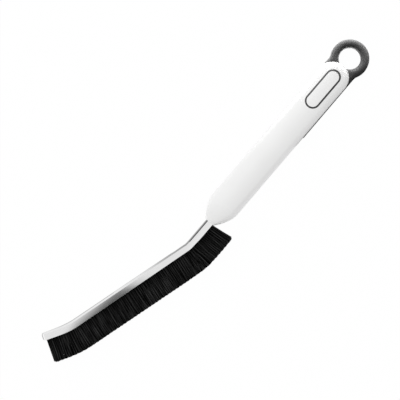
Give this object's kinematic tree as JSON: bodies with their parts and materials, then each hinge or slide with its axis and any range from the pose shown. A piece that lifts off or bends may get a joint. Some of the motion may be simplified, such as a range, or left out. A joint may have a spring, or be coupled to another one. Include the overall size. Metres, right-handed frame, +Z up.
{
  "type": "crevice brush",
  "caption": "Slim crevice brush: straight moulded handle with a hang ring at its tail and a bent metal channel in its nose that clamps one dense row of stiff bristles.",
  "frame": {"origin": "centre of the hang hole, halfway through the ring's thickness", "axes": "+X along the handle from the ring to the brush head, +Y to the bristle side, +Z up out of the crowned face, with the brush lying on its flat back"},
  "size_m": [0.2767, 0.0525, 0.0145],
  "materials": {
    "handle_white": "white moulded plastic, satin gloss",
    "insert_grey": "dark grey moulded plastic, satin",
    "channel_steel": "bright plated steel strip, folded to a channel",
    "wire_steel": "drawn steel wire",
    "bristle_black": "black nylon filament"
  },
  "bodies": {
    "root": {"handle_body": "handle_white", "tail_insert": "insert_grey", "brush_channel": "channel_steel", "core_wire": "wire_steel", "bristle_tuft_01": "bristle_black", "bristle_tuft_02": "bristle_black", "bristle_tuft_03": "bristle_black", "bristle_tuft_04": "bristle_black", "bristle_tuft_05": "bristle_black", "bristle_tuft_06": "bristle_black", "bristle_tuft_07": "bristle_black", "bristle_tuft_08": "bristle_black", "bristle_tuft_09": "bristle_black", "bristle_tuft_10": "bristle_black", "bristle_tuft_11": "bristle_black", "bristle_tuft_12": "bristle_black", "bristle_tuft_13": "bristle_black", "bristle_tuft_14": "bristle_black", "bristle_tuft_15": "bristle_black", "bristle_tuft_16": "bristle_black", "bristle_tuft_17": "bristle_black", "bristle_tuft_18": "bristle_black", "bristle_tuft_19": "bristle_black", "bristle_tuft_20": "bristle_black", "bristle_tuft_21": "bristle_black", "bristle_tuft_22": "bristle_black", "bristle_tuft_23": "bristle_black", "bristle_tuft_24": "bristle_black", "bristle_tuft_25": "bristle_black", "bristle_tuft_26": "bristle_black", "bristle_tuft_27": "bristle_black", "bristle_tuft_28": "bristle_black", "bristle_tuft_29": "bristle_black", "bristle_tuft_30": "bristle_black", "bristle_tuft_31": "bristle_black", "bristle_tuft_32": "bristle_black", "bristle_tuft_33": "bristle_black", "bristle_tuft_34": "bristle_black", "bristle_tuft_35": "bristle_black", "bristle_tuft_36": "bristle_black", "bristle_tuft_37": "bristle_black", "bristle_tuft_38": "bristle_black", "bristle_tuft_39": "bristle_black", "bristle_tuft_40": "bristle_black", "bristle_tuft_41": "bristle_black", "bristle_tuft_42": "bristle_black", "bristle_tuft_43": "bristle_black", "bristle_tuft_44": "bristle_black", "bristle_tuft_45": "bristle_black", "bristle_tuft_46": "bristle_black", "bristle_tuft_47": "bristle_black", "bristle_tuft_48": "bristle_black", "bristle_tuft_49": "bristle_black", "bristle_tuft_50": "bristle_black", "bristle_tuft_51": "bristle_black", "bristle_tuft_52": "bristle_black"}
  },
  "joints": []
}
